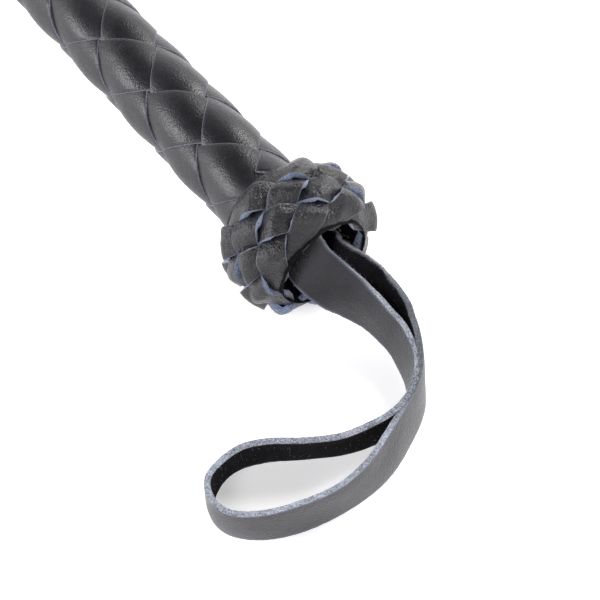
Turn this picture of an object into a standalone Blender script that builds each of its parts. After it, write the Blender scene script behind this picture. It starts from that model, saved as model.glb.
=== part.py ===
"""Riding crop: plaited leather handle, pommel knot with wrist strap, slim shaft and leather keeper.

The crop lies on the plane z = 0, pommel toward +X, tip toward -X. Run it with
blender --background --python part.py
"""
import math

import bmesh
import bpy
from mathutils import Euler, Matrix, Vector

MM = 0.001

# ---- clearances ----
GAP = 0.35 * MM                 # between pieces that touch
FLEX_GAP = 1.0 * MM             # on each side of a leather flex line

# ---- handle: stations run along the shaft's axis, 0 at the middle of the pommel knot ----
HANDLE_LENGTH = 238 * MM        # from the middle of the knot to the front end of the plait
HANDLE_BUTT_RADIUS = 10.7 * MM  # outside of the plait under the pommel knot
HANDLE_FRONT_RADIUS = 8.2 * MM  # outside of the plait at its front end
PLAIT_BUTT_END = 2.5 * MM       # where the plait stops inside the knot
PLAIT_STRAND_THICKNESS = 1.3 * MM
PLAIT_STRANDS = 6               # half of them run each way round
PLAIT_ROW = 10.05 * MM          # axial distance between rows of crossings
PLAIT_FIRST_CELL = 58.1 * MM    # a crossing's middle, measured from the knot's middle
PLAIT_PHASE = -146.0            # that crossing's angle round the shaft, degrees
STRAND_FILL = 0.41              # half of a strand's width, as a share of the strand spacing
BIGHT_DIP = 0.3                 # how far a knot's bight dips toward its edge, in lattice rows
BIGHT_SPREAD = 0.31             # how much wider the strand lies in a bight, in lattice rows
FILLER_EASE = 0.25 * MM         # slack between the handle's filler and the plait
BIGHT_SHARES = (0.25, 0.5, 0.75)    # solid sections round a bight

# ---- rod, filler and sleeve ----
SHAFT_LENGTH = 598 * MM         # from the middle of the knot to the rod's tip
ROD_BUTT_RADIUS = 3.2 * MM
ROD_TIP_RADIUS = 1.6 * MM
ROD_BUTT_STUB = 5.5 * MM         # rod standing out of the filler inside the knot
SLEEVE_BUTT_RADIUS = 4.6 * MM
SLEEVE_TIP_RADIUS = 3.0 * MM

# ---- pommel knot ----
KNOT_STRAND_THICKNESS = 1.5 * MM
KNOT_BUILD_UP = 3.8 * MM        # foundation under the knot's two layers of strand
KNOT_RADIUS = HANDLE_BUTT_RADIUS + KNOT_BUILD_UP + 2 * (KNOT_STRAND_THICKNESS + GAP)
KNOT_LEADS = 5
KNOT_BIGHTS = 8
KNOT_PHASE = -178.0             # angle of the lattice's first column, degrees
# One row for each lattice row: station toward the pommel, and how far the surface lies inside KNOT_RADIUS.
KNOT_PROFILE = ((-12.0, 6.3), (-8.4, 2.3), (-4.0, 0.5), (0.4, 0.0), (4.7, 0.2), (8.9, 1.1), (12.4, 2.9),
                (14.0, 5.6))
KNOT_FOUNDATION_ROWS = (0.6, 4.7)   # lattice rows between which the foundation fills the knot
BUTT_BINDING_SPAN = (-9.6 * MM, -7.2 * MM)
BINDING_THICKNESS = 0.7 * MM

# ---- collar knot at the front end of the plait ----
COLLAR_AHEAD = 1.0 * MM         # from the plait's front end to the collar's middle, toward the tip
COLLAR_STRAND_THICKNESS = 1.2 * MM
COLLAR_BUILD_UP = 2.1 * MM      # foundation under the collar's two layers of strand
COLLAR_RADIUS = HANDLE_FRONT_RADIUS + COLLAR_BUILD_UP + 2 * (COLLAR_STRAND_THICKNESS + GAP)
COLLAR_LEADS = 3
COLLAR_BIGHTS = 7
COLLAR_PROFILE = ((-9.5, 5.6), (-5.8, 2.0), (-1.9, 0.2), (1.9, 0.0), (5.6, 1.1), (9.5, 3.0))
COLLAR_FOUNDATION_ROWS = (0.35, 1.65)
COLLAR_BINDING_LENGTH = 3.2 * MM

# ---- wrist strap ----
STRAP_WIDTH = 11.4 * MM
STRAP_THICKNESS = 1.4 * MM
STRAP_LAYER_OFFSET = 0.95 * MM  # from the strap's middle plane to each layer's, at the mouth
MOUTH_STATION = 12.4 * MM       # the strap's flex line
MOUTH_ROLL = 44.0               # lean of the strap's width from upright at the mouth, degrees
STRAP_BINDING_SPAN = (1.8 * MM, 4.8 * MM)
TAIL_EASE = 0.4 * MM            # how much further apart the two ends lie just inside the mouth
TAIL_EASE_LENGTH = 1.2 * MM
STRAP_STEPS = 3                 # solid sections between two route points
# Middle of the strap: x and y in mm from the middle of the knot, rise (0 standing on the floor, 1 level with
# the middle of the knot), and its lean from upright toward the left of its run, degrees. The route goes out
# along the near layer, round the loop and back along the far layer.
STRAP_ROUTE = (
    (14.0, -0.9, 0.928, 43), (16.3, -0.5, 0.76, 39), (21.1, 2.1, 0.456, 21), (26.4, 4.4, 0.224, 9),
    (31.5, 5.1, 0.072, 7), (35.8, 4.4, 0, 8), (39.6, 2.6, 0, 6), (43.1, -0.1, 0, 4), (45.6, -4.1, 0, 2),
    (46.9, -10.0, 0, 4), (45.7, -16.1, 0, 8), (43.3, -22.5, 0, 10), (39.6, -28.8, 0, 10),
    (35.6, -35.0, 0, 9), (33.6, -40.8, 0, 7), (34.2, -46.3, 0, 3), (36.9, -50.9, 0, -2),
    (41.6, -52.6, 0, -4), (46.5, -51.0, 0, -4), (50.7, -46.1, 0, -2), (53.6, -38.6, 0, 0),
    (55.1, -29.8, 0, 2), (54.7, -21.7, 0, 6), (52.8, -14.0, 0, 10), (49.5, -6.7, 0, 12),
    (45.6, -0.4, 0, 10), (41.7, 4.0, 0, 6), (37.4, 7.0, 0, 4), (32.9, 9.0, 0.04, 0),
    (28.3, 9.8, 0.12, -4), (24.0, 8.8, 0.296, -13), (19.9, 6.7, 0.52, -26), (16.6, 3.7, 0.76, -39),
    (14.0, 1.5, 0.928, -43),
)

# ---- keeper ----
KEEPER_LENGTH = 50 * MM
KEEPER_WIDTH = 26 * MM
KEEPER_NECK_WIDTH = 11 * MM
KEEPER_THICKNESS = 1.8 * MM     # one leaf
# The leaf's shoulder: shares of its length, and of its spread from neck width to full width.
KEEPER_SHOULDER = ((0.16, 0.08), (0.34, 0.72), (0.5, 0.965))
NECK_LENGTH = 28 * MM
NECK_WALL = 1.4 * MM
WHIPPING_LENGTH = 15 * MM
WHIPPING_THICKNESS = 0.7 * MM
WHIPPING_PLACE = 0.45           # its middle, as a share of the neck's length
NECK_EASE = 0.5 * GAP           # extra slack between the neck and the sleeve
FLOOR_CLEARANCE = 0.3 * MM      # under the keeper's whipping

ROUND_STEPS = 32
CORNER_STEPS = 5
FOUNDATION_STEPS = 10
MERGE_DISTANCE = 0.01 * MM
ROUNDING = 1e-9
ROW_STEP = 0.02                 # lattice rows over which a slope is taken

neck_radius = SLEEVE_TIP_RADIUS + GAP + NECK_WALL
whipping_radius = neck_radius + GAP + WHIPPING_THICKNESS
tip_height = whipping_radius + FLOOR_CLEARANCE
TILT = math.atan2(KNOT_RADIUS - tip_height, SHAFT_LENGTH)

collection = None
shaft_axis = None


def clear_scene():
    """Remove whatever the file starts with."""
    for item in list(bpy.data.objects):
        bpy.data.objects.remove(item, do_unlink=True)


def make_material(name, color, roughness, metallic=0.0):
    """A plain finish for one piece."""
    material = bpy.data.materials.new(name)
    material.use_nodes = True
    shader = material.node_tree.nodes["Principled BSDF"]
    shader.inputs["Base Color"].default_value = (*color, 1.0)
    shader.inputs["Roughness"].default_value = roughness
    shader.inputs["Metallic"].default_value = metallic
    return material


BLACK_LEATHER = ((0.018, 0.018, 0.022), 0.45)
KNOT_LEATHER = ((0.02, 0.019, 0.024), 0.5)
STRAP_LEATHER = ((0.03, 0.03, 0.036), 0.5)
WAXED_THREAD = ((0.012, 0.012, 0.014), 0.7)
FILLER_WOOD = ((0.42, 0.28, 0.16), 0.7)
FOUNDATION_LEATHER = ((0.12, 0.08, 0.06), 0.8)
ROD_FIBREGLASS = ((0.62, 0.6, 0.52), 0.35)
SLEEVE_BRAID = ((0.015, 0.015, 0.018), 0.6)


def add_object(name, mesh, finish, parent=None):
    """Link a mesh as a named piece with a material of its own."""
    item = bpy.data.objects.new(name, mesh)
    collection.objects.link(item)
    item.data.materials.append(make_material(name + "_finish", *finish))
    item.parent = parent
    return item


def mesh_from_bmesh(name, body):
    """Close a bmesh into a mesh with its faces turned outward."""
    bmesh.ops.recalc_face_normals(body, faces=body.faces)
    mesh = bpy.data.meshes.new(name)
    body.to_mesh(mesh)
    body.free()
    return mesh


def turned(name, profile, finish, parent):
    """A closed ring or bar turned round the local Z axis from (radius, station) points."""
    mesh = bpy.data.meshes.new(name)
    following = profile[1:] + profile[:1]
    turn = sum(r1 * s2 - r2 * s1 for (r1, s1), (r2, s2) in zip(profile, following))
    if turn > 0:
        profile = profile[::-1]
    points = [(radius, 0.0, station) for radius, station in profile]
    closed = all(radius > 0 for radius, _ in profile)
    edges = [(index, index + 1) for index in range(len(points) - 1)]
    if closed:
        edges.append((len(points) - 1, 0))
    mesh.from_pydata(points, edges, [])
    item = add_object(name, mesh, finish, parent)
    screw = item.modifiers.new("turn", "SCREW")
    screw.axis = "Z"
    screw.steps = ROUND_STEPS
    screw.render_steps = ROUND_STEPS
    screw.use_merge_vertices = True
    screw.merge_threshold = MERGE_DISTANCE
    screw.use_smooth_shade = False
    return item


def blend_rows(rows, value):
    """Read a table of rows at a fractional row number, with a smooth curve through the rows."""
    last = len(rows) - 1
    start = min(max(int(math.floor(value)), 0), last - 1)
    share = value - start
    before = rows[max(start - 1, 0)]
    after = rows[min(start + 2, last)]
    result = []
    for p0, p1, p2, p3 in zip(before, rows[start], rows[start + 1], after):
        slope1 = (p2 - p0) / 2
        slope2 = (p3 - p1) / 2
        t2 = share * share
        t3 = t2 * share
        result.append((2 * t3 - 3 * t2 + 1) * p1 + (t3 - 2 * t2 + share) * slope1
                      + (3 * t2 - 2 * t3) * p2 + (t3 - t2) * slope2)
    return result


def ribbon_mesh(name, sections, closed):
    """A solid ribbon from sections, each a list of (outer, inner) point pairs across its width."""
    body = bmesh.new()
    rows = [[(body.verts.new(outer), body.verts.new(inner)) for outer, inner in section]
            for section in sections]
    across = len(rows[0]) - 1
    count = len(rows) if closed else len(rows) - 1
    for index in range(count):
        here = rows[index]
        there = rows[(index + 1) % len(rows)]
        for k in range(across):
            for side in (0, 1):
                corner = (here[k][side], there[k][side], there[k + 1][side], here[k + 1][side])
                body.faces.new((corner[0], corner[1], corner[2]))
                body.faces.new((corner[0], corner[2], corner[3]))
        for k in (0, across):
            body.faces.new((here[k][0], there[k][0], there[k][1], here[k][1]))
    if not closed:
        for section in (rows[0], rows[-1]):
            for k in range(across):
                body.faces.new((section[k][0], section[k + 1][0], section[k + 1][1], section[k][1]))
    return mesh_from_bmesh(name, body)


def handle_radius(station):
    """Outside radius of the plaited handle at a station."""
    share = -station / HANDLE_LENGTH
    return HANDLE_BUTT_RADIUS + (HANDLE_FRONT_RADIUS - HANDLE_BUTT_RADIUS) * share


def weave_level(position, over_first):
    """How far a strand is sunk at a position along it: 0 on top of a crossing and 1 under it."""
    cell = round(position)
    under = (cell % 2 == 0) != over_first
    away = position - cell
    if abs(away) <= STRAND_FILL + ROUNDING:
        return 1.0 if under else 0.0
    share = (abs(away) - STRAND_FILL) / (1 - 2 * STRAND_FILL)
    return 1 - share if under else share


def plait_strand(name, number):
    """One strand of the handle's plait, solid, woven over one and under one."""
    per_way = PLAIT_STRANDS // 2
    own = number % per_way
    rising = number < per_way
    first_row = (PLAIT_FIRST_CELL - HANDLE_LENGTH) / PLAIT_ROW
    last_row = (PLAIT_FIRST_CELL - PLAIT_BUTT_END) / PLAIT_ROW
    start = first_row + STRAND_FILL - own
    stop = last_row - STRAND_FILL - own
    places = {start, stop}
    for cell in range(math.floor(start), math.ceil(stop) + 1):
        for place in (cell - STRAND_FILL, cell, cell + STRAND_FILL):
            if start < place < stop:
                places.add(place)
    step = 2 * math.pi / PLAIT_STRANDS
    drop = PLAIT_STRAND_THICKNESS + GAP
    over_first = (own % 2 == 0) if rising else (own % 2 == 1)
    sections = []
    for place in sorted(places):
        level = weave_level(place, over_first)
        section = []
        for side in (-STRAND_FILL, 0.0, STRAND_FILL):
            row = own + side + place
            column = own + side - place if rising else place - own - side
            station = row * PLAIT_ROW - PLAIT_FIRST_CELL
            angle = math.radians(PLAIT_PHASE) + column * step
            outer = handle_radius(station) - level * drop
            inner = outer - PLAIT_STRAND_THICKNESS
            spoke = Vector((math.cos(angle), math.sin(angle), 0.0))
            axis_point = Vector((0.0, 0.0, station))
            section.append((axis_point + spoke * outer, axis_point + spoke * inner))
        sections.append(section)
    return add_object(name, ribbon_mesh(name, sections, closed=False), BLACK_LEATHER, shaft_axis)


class KnotForm:
    """The barrel that a Turk's head knot is tied on, and the strand's path over it."""

    def __init__(self, radius, profile, leads, bights, thickness, middle, phase):
        self.rows = [(station * MM, radius - inside * MM) for station, inside in profile]
        self.leads = leads
        self.bights = bights
        self.thickness = thickness
        self.middle = middle
        self.phase = math.radians(phase)

    def surface(self, row, depth):
        """Radius and station at a lattice row, at a depth below the knot's outside."""
        station, radius = blend_rows(self.rows, row + 1)
        ahead = blend_rows(self.rows, row + 1 + ROW_STEP)
        behind = blend_rows(self.rows, row + 1 - ROW_STEP)
        run = Vector((ahead[0] - behind[0], ahead[1] - behind[1])).normalized()
        return radius - run.x * depth, self.middle + station + run.y * depth

    def point(self, column, row, depth):
        """A point on the barrel in lattice coordinates."""
        radius, station = self.surface(row, depth)
        angle = self.phase + column * math.pi / self.bights
        return Vector((radius * math.cos(angle), radius * math.sin(angle), station))

    def path(self):
        """Stations of the strand: (column, row, across column, across row, level)."""
        stations = []
        fill = STRAND_FILL
        column = 0
        for leg in range(2 * self.bights):
            climbing = leg % 2 == 0
            for cell in range(1, self.leads):
                row = cell if climbing else self.leads - cell
                here = column - cell
                over = (here % 2 == 0) == climbing
                level = 0.0 if over else 1.0
                across = (-fill, -fill) if climbing else (fill, -fill)
                for step in (-fill, 0.0, fill):
                    rise = step if climbing else -step
                    stations.append((here - step, row + rise, *across, level))
            stations.extend(self.bight(column - self.leads, climbing, stations[-1][4]))
            column -= self.leads
        return stations

    def bight(self, apex, at_top, level):
        """The turn of the strand at the knot's edge."""
        fill = STRAND_FILL
        turn = []
        for share in BIGHT_SHARES:
            swing = math.pi * share
            column = apex + (1 - fill) * (1 - 2 * share)
            lift = 1 - fill - BIGHT_DIP * math.sin(swing)
            row = self.leads - lift if at_top else lift
            lean = -fill * math.cos(swing) if at_top else fill * math.cos(swing)
            reach = -(fill + BIGHT_SPREAD * math.sin(swing))
            sink = level + (1 - 2 * level) * share
            turn.append((column, row, lean, reach, sink))
        return turn


def turks_head(name, form):
    """The knot's one strand, closed on itself."""
    drop = form.thickness + GAP
    sections = []
    for column, row, lean, reach, level in form.path():
        section = []
        for side in (-1.0, 0.0, 1.0):
            place = (column + side * lean, row + side * reach)
            section.append((form.point(*place, level * drop),
                            form.point(*place, level * drop + form.thickness)))
        sections.append(section)
    return add_object(name, ribbon_mesh(name, sections, closed=True), KNOT_LEATHER, shaft_axis)


def foundation_profile(form, rows, bore):
    """Outline of the ring that fills a knot, between two lattice rows."""
    depth = 2 * form.thickness + 2 * GAP
    outline = []
    for index in range(FOUNDATION_STEPS + 1):
        row = rows[0] + (rows[1] - rows[0]) * index / FOUNDATION_STEPS
        outline.append(form.surface(row, depth + GAP))
    return list(reversed(outline)) + list(bore)


def strap_sections(route, steps):
    """Sections of the strap, steps to each pair of route points."""
    standing = STRAP_WIDTH / 2
    rows = [(x * MM, y * MM, standing + (KNOT_RADIUS - standing) * rise, math.radians(lean))
            for x, y, rise, lean in route]
    centres = []
    total = (len(rows) - 1) * steps
    for index in range(total + 1):
        centres.append(blend_rows(rows, index / steps))
    sections = []
    for index, (x, y, z, roll) in enumerate(centres):
        before = centres[max(index - 1, 0)]
        after = centres[min(index + 1, total)]
        run = Vector(after[:3]) - Vector(before[:3])
        left = Vector((-run.y, run.x, 0.0)).normalized()
        width = Vector((0.0, 0.0, math.cos(roll))) + left * math.sin(roll)
        width = (width - run.normalized() * width.dot(run.normalized())).normalized()
        face = run.cross(width).normalized()
        centre = Vector((x, y, z))
        half = width * STRAP_WIDTH / 2
        skin = face * STRAP_THICKNESS / 2
        sections.append([(centre + half + skin, centre + half - skin),
                         (centre - half + skin, centre - half - skin)])
    return sections


def wrist_strap():
    """The loop of strap outside the knot, with its origin on its flex line."""
    mesh = ribbon_mesh("wrist_strap", strap_sections(STRAP_ROUTE, STRAP_STEPS), closed=False)
    hinge = Vector((MOUTH_STATION * math.cos(TILT), 0.0, KNOT_RADIUS + MOUTH_STATION * math.sin(TILT)))
    mesh.transform(Matrix.Translation(-hinge))
    item = add_object("wrist_strap", mesh, STRAP_LEATHER)
    item.location = hinge
    return item


def strap_tail(name, side):
    """One end of the strap inside the knot, from the rod's stub to the mouth."""
    roll = math.radians(MOUTH_ROLL)
    width = Vector((-math.cos(roll), math.sin(roll), 0.0))
    face = Vector((-math.sin(roll), -math.cos(roll), 0.0)) * side
    beside_rod = ROD_BUTT_RADIUS + GAP + STRAP_THICKNESS / 2
    stop = MOUTH_STATION - FLEX_GAP
    sections = []
    for station, offset in ((2 * GAP, beside_rod), (ROD_BUTT_STUB + GAP, beside_rod),
                            (stop - TAIL_EASE_LENGTH, STRAP_LAYER_OFFSET + TAIL_EASE),
                            (stop, STRAP_LAYER_OFFSET)):
        centre = Vector((0.0, 0.0, station)) + face * offset
        half = width * STRAP_WIDTH / 2
        skin = face * STRAP_THICKNESS / 2
        sections.append([(centre + half + skin, centre + half - skin),
                         (centre - half + skin, centre - half - skin)])
    return add_object(name, ribbon_mesh(name, sections, closed=False), STRAP_LEATHER, shaft_axis)


def leaf_outline():
    """Half outline of the keeper: (distance from the flex line, half width)."""
    corner = KEEPER_WIDTH / 4
    spread = (KEEPER_WIDTH - KEEPER_NECK_WIDTH) / 2
    points = [(FLEX_GAP, KEEPER_NECK_WIDTH / 2)]
    points.extend((KEEPER_LENGTH * run, KEEPER_NECK_WIDTH / 2 + spread * share)
                  for run, share in KEEPER_SHOULDER)
    points.append((KEEPER_LENGTH - corner, KEEPER_WIDTH / 2))
    for step in range(1, CORNER_STEPS + 1):
        turn = math.pi / 2 * step / CORNER_STEPS
        points.append((KEEPER_LENGTH - corner + corner * math.sin(turn),
                       KEEPER_WIDTH / 2 - corner + corner * math.cos(turn)))
    return points


def keeper_leaf(name, bottom, hinge):
    """One leaf of the keeper, flat, cut to its outline."""
    body = bmesh.new()
    half = leaf_outline()
    outline = [(-run, wide) for run, wide in half] + [(-run, -wide) for run, wide in reversed(half)]
    base = [body.verts.new((x, y, 0.0)) for x, y in outline]
    face = body.faces.new(base)
    raised = bmesh.ops.extrude_face_region(body, geom=[face])["geom"]
    lift = [item for item in raised if isinstance(item, bmesh.types.BMVert)]
    bmesh.ops.translate(body, verts=lift, vec=(0.0, 0.0, KEEPER_THICKNESS))
    mesh = mesh_from_bmesh(name, body)
    mesh.transform(Matrix.Translation((0.0, 0.0, bottom - hinge.z)))
    item = add_object(name, mesh, STRAP_LEATHER)
    item.location = hinge
    return item


def ring(name, inner, outer, span, finish):
    """A plain turned ring, such as a binding, with softened outer corners."""
    soft = (outer - inner) / 3
    start, stop = span
    profile = [(outer, stop - soft), (outer, start + soft), (outer - soft, start), (inner, start),
               (inner, stop), (outer - soft, stop)]
    return turned(name, profile, finish, shaft_axis)


def build_shaft():
    """Rod, filler, plait, sleeve and bindings."""
    tip = -SHAFT_LENGTH
    front = -HANDLE_LENGTH
    turned("core_rod", [(0.0, ROD_BUTT_STUB), (ROD_BUTT_RADIUS, ROD_BUTT_STUB), (ROD_BUTT_RADIUS, front),
                        (ROD_TIP_RADIUS, tip), (0.0, tip)], ROD_FIBREGLASS, shaft_axis)
    under_plait = 2 * PLAIT_STRAND_THICKNESS + 2 * GAP + FILLER_EASE
    bore = ROD_BUTT_RADIUS + GAP
    turned("handle_filler", [(handle_radius(0.0) - under_plait, 0.0),
                             (handle_radius(front) - under_plait, front), (bore, front), (bore, 0.0)],
           FILLER_WOOD, shaft_axis)
    for number in range(PLAIT_STRANDS):
        plait_strand("plait_strand_%d" % (number + 1), number)
    butt = handle_radius(BUTT_BINDING_SPAN[0]) + GAP
    ring("butt_binding", butt, butt + BINDING_THICKNESS, BUTT_BINDING_SPAN, WAXED_THREAD)
    sleeve_start = front - GAP
    tip_bore = ROD_TIP_RADIUS + GAP
    turned("shaft_sleeve", [(SLEEVE_BUTT_RADIUS, sleeve_start), (SLEEVE_TIP_RADIUS, tip), (tip_bore, tip),
                            (bore, sleeve_start)], SLEEVE_BRAID, shaft_axis)


def build_pommel_knot():
    """Foundation ring, knot strand, strap tails and their binding."""
    form = KnotForm(KNOT_RADIUS, KNOT_PROFILE, KNOT_LEADS, KNOT_BIGHTS, KNOT_STRAND_THICKNESS, 0.0,
                    KNOT_PHASE)
    turks_head("pommel_knot", form)
    bore = HANDLE_BUTT_RADIUS + 2 * GAP
    low = form.surface(KNOT_FOUNDATION_ROWS[0], 0.0)[1]
    high = form.surface(KNOT_FOUNDATION_ROWS[1], 0.0)[1]
    turned("knot_foundation", foundation_profile(form, KNOT_FOUNDATION_ROWS, ((bore, low), (bore, high))),
           FOUNDATION_LEATHER, shaft_axis)
    strap_tail("strap_tail_upper", 1.0)
    strap_tail("strap_tail_lower", -1.0)
    reach = math.hypot(ROD_BUTT_RADIUS + GAP + STRAP_THICKNESS, STRAP_WIDTH / 2) + GAP
    ring("strap_binding", reach, reach + BINDING_THICKNESS, STRAP_BINDING_SPAN, WAXED_THREAD)


def build_collar():
    """The small knot over the front end of the plait."""
    form = KnotForm(COLLAR_RADIUS, COLLAR_PROFILE, COLLAR_LEADS, COLLAR_BIGHTS, COLLAR_STRAND_THICKNESS,
                    -HANDLE_LENGTH - COLLAR_AHEAD, KNOT_PHASE)
    turks_head("collar_knot", form)
    front = -HANDLE_LENGTH
    binding = (front + GAP, front + GAP + COLLAR_BINDING_LENGTH)
    inner = handle_radius(binding[1]) + GAP
    ring("collar_binding", inner, inner + BINDING_THICKNESS, binding, WAXED_THREAD)
    low = form.surface(COLLAR_FOUNDATION_ROWS[0], 0.0)[1]
    narrow = SLEEVE_BUTT_RADIUS + GAP
    bore = ((narrow, low), (narrow, front - GAP))
    turned("collar_foundation", foundation_profile(form, COLLAR_FOUNDATION_ROWS, bore),
           FOUNDATION_LEATHER, shaft_axis)


def build_keeper():
    """Neck and whipping on the tip, and the two leaves beyond the flex line."""
    tip = -SHAFT_LENGTH
    neck_bore = SLEEVE_TIP_RADIUS + GAP + NECK_EASE
    turned("keeper_neck", [(neck_radius, tip + NECK_LENGTH), (neck_radius, tip - GAP),
                           (neck_bore, tip - GAP), (neck_bore, tip + NECK_LENGTH)], STRAP_LEATHER, shaft_axis)
    middle = tip + NECK_LENGTH * WHIPPING_PLACE
    ring("keeper_whipping", neck_radius + GAP, whipping_radius,
         (middle - WHIPPING_LENGTH / 2, middle + WHIPPING_LENGTH / 2), WAXED_THREAD)
    hinge_x = -SHAFT_LENGTH * math.cos(TILT) - FLEX_GAP - GAP
    hinge = Vector((hinge_x, 0.0, KEEPER_THICKNESS + GAP / 2))
    keeper_leaf("keeper_leaf_lower", 0.0, hinge)
    keeper_leaf("keeper_leaf_upper", KEEPER_THICKNESS + GAP, hinge)


def stand_on_origin():
    """Slide the whole crop so that its box stands centred on the origin."""
    bpy.context.view_layer.update()
    graph = bpy.context.evaluated_depsgraph_get()
    low = Vector((math.inf, math.inf, math.inf))
    high = -low
    for item in collection.objects:
        if item.type != "MESH":
            continue
        shown = item.evaluated_get(graph)
        for vertex in shown.data.vertices:
            place = shown.matrix_world @ vertex.co
            low = Vector(map(min, low, place))
            high = Vector(map(max, high, place))
    slide = Vector(((low.x + high.x) / 2, (low.y + high.y) / 2, low.z))
    for item in collection.objects:
        if item.parent is None:
            item.location = item.location - slide
    print("moved by", tuple(round(-value / MM, 3) for value in slide), "mm")


clear_scene()
collection = bpy.data.collections.new("riding_crop")
bpy.context.scene.collection.children.link(collection)
shaft_axis = bpy.data.objects.new("shaft_axis", None)
collection.objects.link(shaft_axis)
shaft_axis.location = (0.0, 0.0, KNOT_RADIUS)
shaft_axis.rotation_euler = Euler((0.0, math.pi / 2 - TILT, 0.0))
build_shaft()
build_pommel_knot()
wrist_strap()
build_collar()
build_keeper()
stand_on_origin()
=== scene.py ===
"""Looks of a plaited riding crop: woven leather, knots, wrist strap, braided shaft and keeper."""
from __future__ import annotations

import logging
import math
import random
from dataclasses import dataclass, field
from enum import Enum
from typing import Callable, Sequence

import bmesh
import bpy
from mathutils import Matrix, Vector, noise


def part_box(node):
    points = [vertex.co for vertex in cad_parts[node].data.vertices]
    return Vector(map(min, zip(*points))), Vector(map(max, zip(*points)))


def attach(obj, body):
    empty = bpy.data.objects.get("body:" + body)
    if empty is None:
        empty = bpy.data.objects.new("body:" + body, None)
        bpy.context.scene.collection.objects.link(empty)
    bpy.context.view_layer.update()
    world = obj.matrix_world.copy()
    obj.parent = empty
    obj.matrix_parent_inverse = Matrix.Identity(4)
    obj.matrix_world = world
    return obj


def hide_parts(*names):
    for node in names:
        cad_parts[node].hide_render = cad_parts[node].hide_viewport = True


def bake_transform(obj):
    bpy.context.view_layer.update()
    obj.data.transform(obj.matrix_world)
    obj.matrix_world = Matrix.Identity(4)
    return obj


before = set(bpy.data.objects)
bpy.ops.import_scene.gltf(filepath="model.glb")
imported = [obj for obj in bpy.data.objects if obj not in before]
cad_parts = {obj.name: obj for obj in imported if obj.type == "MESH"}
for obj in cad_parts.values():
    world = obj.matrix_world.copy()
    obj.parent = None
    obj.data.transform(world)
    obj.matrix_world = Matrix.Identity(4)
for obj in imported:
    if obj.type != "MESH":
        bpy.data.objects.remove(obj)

MM = 0.001
MERGE_DISTANCE = 0.00001
LOG = logging.getLogger("riding_crop")

Point = tuple[float, ...]
Placer = Callable[[float, float], Vector]


# ---------------------------------------------------------------- shader expressions


class Wire:
    """One shader value, so that node maths can be written as Python expressions."""

    def __init__(self, tree: bpy.types.NodeTree, socket: bpy.types.NodeSocket) -> None:
        """Wrap an output socket of a node tree."""
        self.tree = tree
        self.socket = socket

    def maths(self, operation: str, *others: "Wire | float", clamp: bool = False) -> "Wire":
        """Add a Math node.

        Args:
            operation: the Math node's operation.
            others: the second and third inputs.
            clamp: whether the result is held between 0 and 1.

        Returns:
            The node's value.
        """
        node = self.tree.nodes.new("ShaderNodeMath")
        node.operation = operation
        node.use_clamp = clamp
        for slot, value in zip(node.inputs, (self, *others)):
            if isinstance(value, Wire):
                self.tree.links.new(value.socket, slot)
            else:
                slot.default_value = value
        return Wire(self.tree, node.outputs[0])

    def reflected(self, operation: str, first: float) -> "Wire":
        """Add a Math node whose first input is a plain number."""
        node = self.tree.nodes.new("ShaderNodeMath")
        node.operation = operation
        node.inputs[0].default_value = first
        self.tree.links.new(self.socket, node.inputs[1])
        return Wire(self.tree, node.outputs[0])

    def __add__(self, other: "Wire | float") -> "Wire":
        """Sum of two values."""
        return self.maths("ADD", other)

    __radd__ = __add__

    def __sub__(self, other: "Wire | float") -> "Wire":
        """Difference of two values."""
        return self.maths("SUBTRACT", other)

    def __rsub__(self, other: float) -> "Wire":
        """A number less this value."""
        return self.reflected("SUBTRACT", other)

    def __mul__(self, other: "Wire | float") -> "Wire":
        """Product of two values."""
        return self.maths("MULTIPLY", other)

    __rmul__ = __mul__

    def __pow__(self, other: float) -> "Wire":
        """This value raised to a power."""
        return self.maths("POWER", other)

    def __abs__(self) -> "Wire":
        """Size of the value without its sign."""
        return self.maths("ABSOLUTE")

    def whole(self) -> "Wire":
        """The value rounded down."""
        return self.maths("FLOOR")

    def part(self) -> "Wire":
        """What rounding down takes off."""
        return self.maths("FRACT")

    def ramp(self, low: float, high: float, start: float = 0.0, end: float = 1.0) -> "Wire":
        """Smooth step from start to end as the value goes from low to high."""
        node = self.tree.nodes.new("ShaderNodeMapRange")
        node.interpolation_type = "SMOOTHSTEP"
        node.inputs["From Min"].default_value = low
        node.inputs["From Max"].default_value = high
        node.inputs["To Min"].default_value = start
        node.inputs["To Max"].default_value = end
        self.tree.links.new(self.socket, node.inputs["Value"])
        return Wire(self.tree, node.outputs["Result"])


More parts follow.
